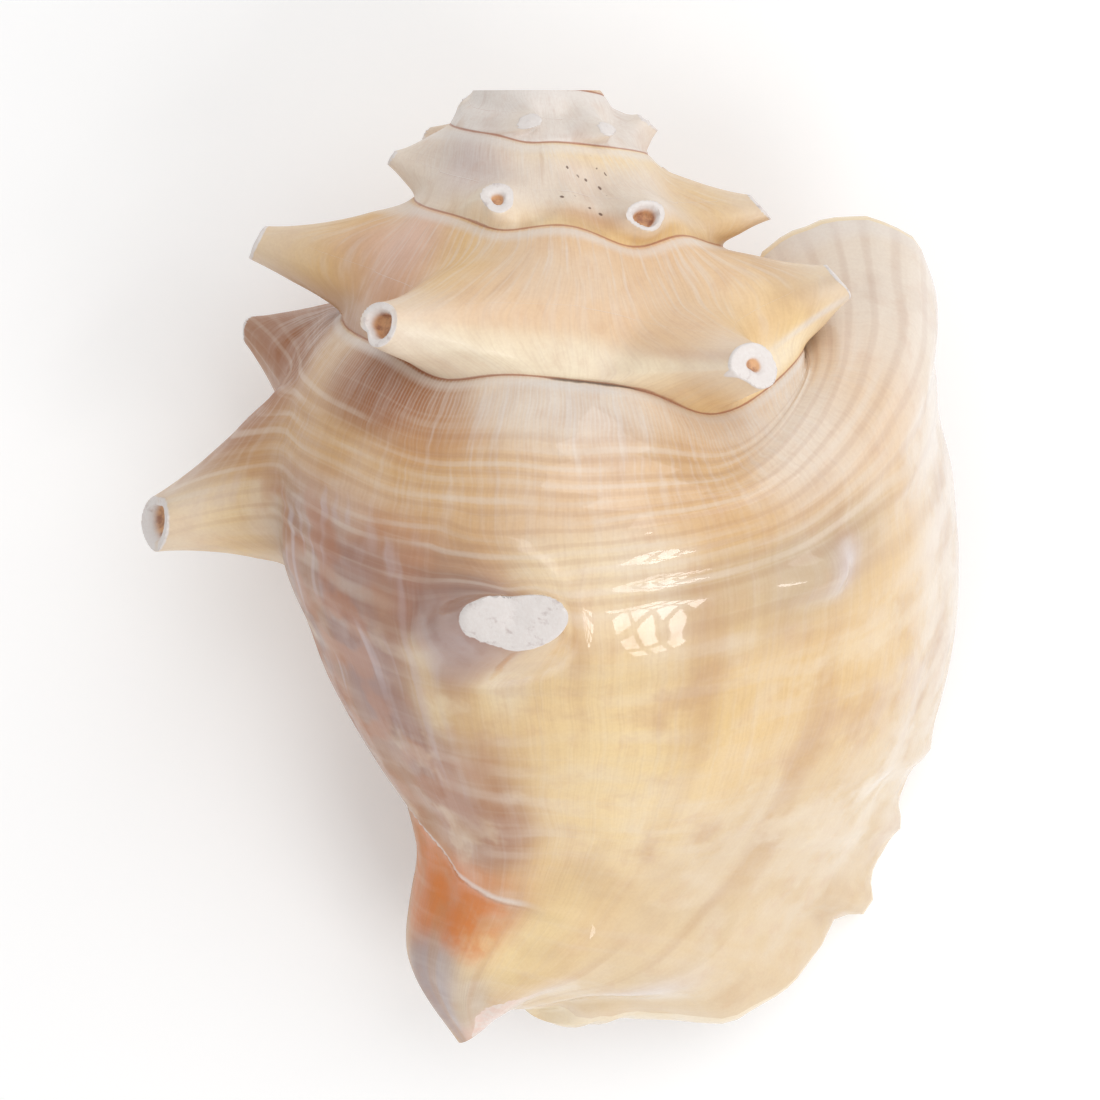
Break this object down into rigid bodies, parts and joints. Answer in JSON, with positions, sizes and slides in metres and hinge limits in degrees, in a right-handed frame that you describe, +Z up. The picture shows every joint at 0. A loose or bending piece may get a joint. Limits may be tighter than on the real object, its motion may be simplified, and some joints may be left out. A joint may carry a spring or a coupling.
{
  "type": "conch shell",
  "caption": "Large spined conch shell with a worn flat apex, broken hollow spines, a flared lip and an open aperture; lies on its aperture side.",
  "frame": {"origin": "middle of the footprint, on the surface that the shell rests on", "axes": "+Y towards the apex along the coil, +X towards the flared lip, +Z up from the aperture side to the back of the shell"},
  "size_m": [0.1796, 0.2074, 0.1288],
  "materials": {
    "shell": "polished cream and tan shell with fine growth lines, chalky worn spine tips and an orange flush at the canal"
  },
  "bodies": {
    "root": {"conch_shell": "shell"}
  },
  "joints": []
}
